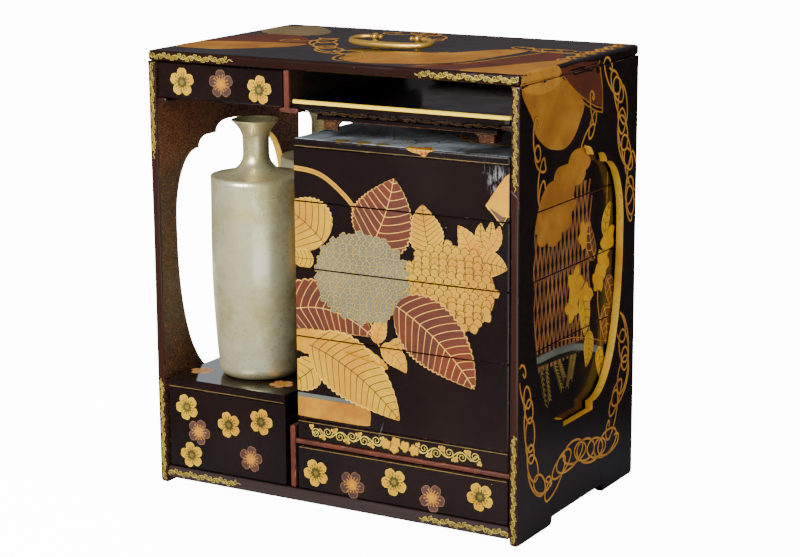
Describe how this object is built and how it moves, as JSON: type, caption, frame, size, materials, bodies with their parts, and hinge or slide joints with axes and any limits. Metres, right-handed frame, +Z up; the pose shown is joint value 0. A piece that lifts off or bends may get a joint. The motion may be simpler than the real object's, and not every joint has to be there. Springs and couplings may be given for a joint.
{
  "type": "tiered picnic box",
  "caption": "Open lacquered carrying case with a folding bail handle, holding a stack of lidded food tiers, two bottles on a low box, drawers and a hung cup tray.",
  "frame": {"origin": "on the floor, under the middle of the case", "axes": "+X to the right seen from the front, -Y to the front, +Z up"},
  "size_m": [0.3, 0.19, 0.3341],
  "materials": {
    "black_lacquer": "polished dark brown-black lacquer on wood, with gold and red-brown sprinkled decoration",
    "red_lacquer": "satin red-brown lacquer on wood",
    "pewter": "aged pewter, softly polished, with dark specks",
    "brass": "polished gilt brass"
  },
  "bodies": {
    "case": {"case_top": "black_lacquer", "case_bottom": "black_lacquer", "case_side_left": "black_lacquer", "case_side_right": "black_lacquer", "upper_partition": "red_lacquer", "lower_partition": "red_lacquer", "shelf": "red_lacquer", "rail_left": "red_lacquer", "rail_right": "red_lacquer", "handle_post_left": "brass", "handle_post_right": "brass", "low_box": "black_lacquer", "low_box_lid": "black_lacquer", "stack_base": "black_lacquer", "tier_4": "black_lacquer", "tier_3": "black_lacquer", "tier_2": "black_lacquer", "tier_1": "black_lacquer", "stack_lid": "black_lacquer", "bottle_front": "pewter", "bottle_back": "pewter"},
    "handle": {"handle_bail": "brass"},
    "top_drawer": {"upper_drawer": "black_lacquer"},
    "bottom_drawer": {"lower_drawer": "black_lacquer"},
    "tray": {"cup_tray": "black_lacquer"}
  },
  "joints": [
    {"name": "handle_turn", "type": "hinge", "parent": "case", "child": "handle", "pos_m": [0, 0.0035, 0.3312], "axis": [-1, 0, 0], "range_deg": [0, 202]},
    {"name": "top_drawer_slide", "type": "slide", "parent": "case", "child": "top_drawer", "axis": [0, -1, 0], "range_m": [0, 0.12]},
    {"name": "bottom_drawer_slide", "type": "slide", "parent": "case", "child": "bottom_drawer", "axis": [0, -1, 0], "range_m": [0, 0.12]},
    {"name": "tray_slide", "type": "slide", "parent": "case", "child": "tray", "axis": [0, -1, 0], "range_m": [0, 0.12]}
  ]
}
